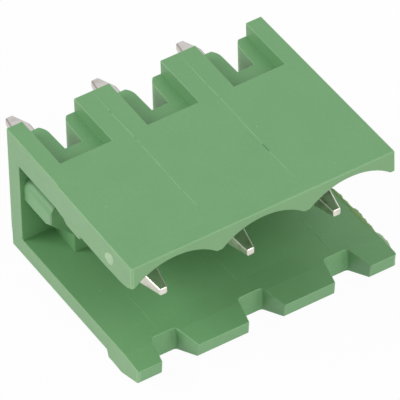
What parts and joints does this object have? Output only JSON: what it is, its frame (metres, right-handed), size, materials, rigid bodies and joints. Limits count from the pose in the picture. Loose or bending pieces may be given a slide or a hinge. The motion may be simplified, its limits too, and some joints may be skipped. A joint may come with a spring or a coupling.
{
  "type": "pluggable terminal block",
  "caption": "Open-ended board header of a pluggable terminal block: green moulded housing with an arched plug socket and straight square pins.",
  "frame": {"origin": "middle of the row of pins, on the pin axes, in the plane of the board face", "axes": "+X along the row of pins, +Y out of the board face along the solder tails, +Z from the latch wall to the arched wall"},
  "size_m": [0.0153, 0.0163, 0.0084],
  "materials": {
    "moulded_plastic": "satin moulded green plastic",
    "tinned_pin": "dull tin plate"
  },
  "bodies": {
    "root": {"housing": "moulded_plastic", "pin_1": "tinned_pin", "pin_2": "tinned_pin", "pin_3": "tinned_pin"}
  },
  "joints": []
}
